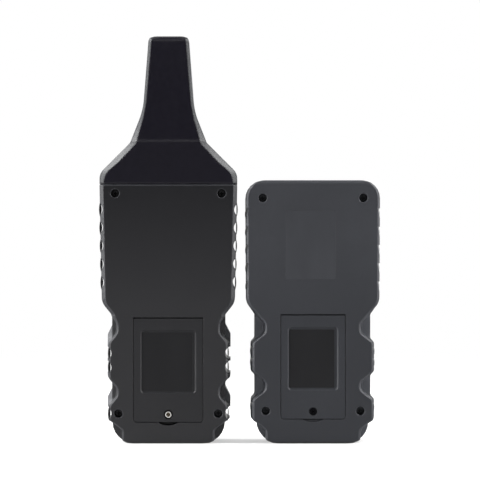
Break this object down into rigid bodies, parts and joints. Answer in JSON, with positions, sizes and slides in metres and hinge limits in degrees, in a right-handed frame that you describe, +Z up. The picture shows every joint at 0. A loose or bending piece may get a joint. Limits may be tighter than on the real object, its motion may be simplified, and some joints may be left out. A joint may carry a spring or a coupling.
{
  "type": "cable locator set",
  "caption": "Handheld cable locator set: a receiver with a tapered antenna head and a matching signal transmitter, each with display, keys and a battery door.",
  "frame": {"origin": "centre of the set's bounding box at the level of the bottoms of both units", "axes": "+Z up the length of the units, +Y out of the backs with the battery doors, -Y out of the displays, +X from the transmitter to the receiver"},
  "size_m": [0.1683, 0.04, 0.2437],
  "materials": {
    "head_black": "fine moulded grain",
    "receiver_case": "fine moulded grain",
    "receiver_front": "fine moulded grain",
    "receiver_door": "fine moulded grain",
    "transmitter_case": "fine moulded grain",
    "transmitter_door": "fine moulded grain",
    "label_dark": "satin film",
    "label_grey": "satin film",
    "bright_steel": "zinc plated",
    "dark_steel": "black oxide",
    "brass": "machined",
    "nickel": "nickel plated",
    "bezel_black": "satin",
    "window": "clear",
    "display": "reflective display",
    "silicone": "matt",
    "key_grey": "matt",
    "board": "solder mask",
    "chip": "matt",
    "cell": "printed film",
    "ferrite": "sintered",
    "copper": "enamelled wire",
    "bobbin": "natural",
    "lead": "insulated",
    "socket_red": "satin",
    "socket_black": "satin",
    "transformer": "varnished",
    "fuse_glass": "clear"
  },
  "bodies": {
    "receiver": {"receiver_antenna_head": "head_black", "receiver_front_shell": "receiver_front", "receiver_rear_shell": "receiver_case", "receiver_display_bezel": "bezel_black", "receiver_display_window": "window", "receiver_batteries": "cell", "receiver_display_module": "display", "receiver_dome_sheet": "silicone", "receiver_main_board": "board", "receiver_board_parts": "chip", "receiver_board_screws": "bright_steel", "receiver_buzzer": "chip", "receiver_battery_contacts": "nickel", "receiver_screw_insert": "brass", "receiver_antenna_core": "ferrite", "receiver_antenna_coil": "copper", "receiver_antenna_bobbin": "bobbin", "receiver_antenna_leads": "lead", "receiver_case_screws": "dark_steel"},
    "receiver_door": {"receiver_battery_door": "receiver_door", "receiver_door_label": "label_dark"},
    "receiver_door_screw": {"receiver_door_screw": "bright_steel"},
    "receiver_key_power": {"receiver_key_power": "key_grey"},
    "receiver_key_mode": {"receiver_key_mode": "key_grey"},
    "receiver_key_up": {"receiver_key_up": "key_grey"},
    "receiver_key_down": {"receiver_key_down": "key_grey"},
    "receiver_key_light": {"receiver_key_light": "key_grey"},
    "receiver_key_mute": {"receiver_key_mute": "key_grey"},
    "transmitter": {"transmitter_front_shell": "transmitter_case", "transmitter_rear_shell": "transmitter_case", "transmitter_display_bezel": "bezel_black", "transmitter_display_window": "window", "transmitter_batteries": "cell", "transmitter_back_label": "label_grey", "transmitter_socket_red": "socket_red", "transmitter_socket_black": "socket_black", "transmitter_socket_contacts": "brass", "transmitter_display_module": "display", "transmitter_dome_sheet": "silicone", "transmitter_main_board": "board", "transmitter_board_parts": "chip", "transmitter_board_screws": "bright_steel", "transmitter_buzzer": "chip", "transmitter_battery_contacts": "nickel", "transmitter_screw_insert": "brass", "transmitter_output_transformer": "transformer", "transmitter_fuse": "fuse_glass", "transmitter_fuse_clips": "nickel", "transmitter_case_screws": "dark_steel"},
    "transmitter_door": {"transmitter_battery_door": "transmitter_door", "transmitter_door_label": "label_dark"},
    "transmitter_door_screw": {"transmitter_door_screw": "dark_steel"},
    "transmitter_key_power": {"transmitter_key_power": "key_grey"},
    "transmitter_key_level": {"transmitter_key_level": "key_grey"},
    "transmitter_key_code": {"transmitter_key_code": "key_grey"},
    "transmitter_key_light": {"transmitter_key_light": "key_grey"}
  },
  "joints": [
    {"name": "receiver_door_swing", "type": "hinge", "parent": "receiver", "child": "receiver_door", "pos_m": [0.0426, 0.01875, 0.0739], "axis": [1, 0, 0], "range_deg": [0, 65]},
    {"name": "receiver_door_screw_turn", "type": "hinge", "parent": "receiver_door", "child": "receiver_door_screw", "pos_m": [0.0426, 0.01985, 0.0174], "axis": [0, 1, 0], "continuous": true},
    {"name": "receiver_key_power_press", "type": "slide", "parent": "receiver", "child": "receiver_key_power", "axis": [0, 1, 0], "range_m": [0, 0.0012], "stiffness_N_per_m": 900, "springref_m": -0.0004},
    {"name": "receiver_key_mode_press", "type": "slide", "parent": "receiver", "child": "receiver_key_mode", "axis": [0, 1, 0], "range_m": [0, 0.0012], "stiffness_N_per_m": 900, "springref_m": -0.0004},
    {"name": "receiver_key_up_press", "type": "slide", "parent": "receiver", "child": "receiver_key_up", "axis": [0, 1, 0], "range_m": [0, 0.0012], "stiffness_N_per_m": 900, "springref_m": -0.0004},
    {"name": "receiver_key_down_press", "type": "slide", "parent": "receiver", "child": "receiver_key_down", "axis": [0, 1, 0], "range_m": [0, 0.0012], "stiffness_N_per_m": 900, "springref_m": -0.0004},
    {"name": "receiver_key_light_press", "type": "slide", "parent": "receiver", "child": "receiver_key_light", "axis": [0, 1, 0], "range_m": [0, 0.0012], "stiffness_N_per_m": 900, "springref_m": -0.0004},
    {"name": "receiver_key_mute_press", "type": "slide", "parent": "receiver", "child": "receiver_key_mute", "axis": [0, 1, 0], "range_m": [0, 0.0012], "stiffness_N_per_m": 900, "springref_m": -0.0004},
    {"name": "transmitter_door_swing", "type": "hinge", "parent": "transmitter", "child": "transmitter_door", "pos_m": [-0.0437, 0.01875, 0.0758], "axis": [1, 0, 0], "range_deg": [0, 65]},
    {"name": "transmitter_door_screw_turn", "type": "hinge", "parent": "transmitter_door", "child": "transmitter_door_screw", "pos_m": [-0.0437, 0.01985, 0.0193], "axis": [0, 1, 0], "continuous": true},
    {"name": "transmitter_key_power_press", "type": "slide", "parent": "transmitter", "child": "transmitter_key_power", "axis": [0, 1, 0], "range_m": [0, 0.0012], "stiffness_N_per_m": 900, "springref_m": -0.0004},
    {"name": "transmitter_key_level_press", "type": "slide", "parent": "transmitter", "child": "transmitter_key_level", "axis": [0, 1, 0], "range_m": [0, 0.0012], "stiffness_N_per_m": 900, "springref_m": -0.0004},
    {"name": "transmitter_key_code_press", "type": "slide", "parent": "transmitter", "child": "transmitter_key_code", "axis": [0, 1, 0], "range_m": [0, 0.0012], "stiffness_N_per_m": 900, "springref_m": -0.0004},
    {"name": "transmitter_key_light_press", "type": "slide", "parent": "transmitter", "child": "transmitter_key_light", "axis": [0, 1, 0], "range_m": [0, 0.0012], "stiffness_N_per_m": 900, "springref_m": -0.0004},
    {"name": "units_apart", "type": "slide", "parent": "receiver", "child": "transmitter", "axis": [-1, 0, 0], "range_m": [0, 0.2]}
  ]
}
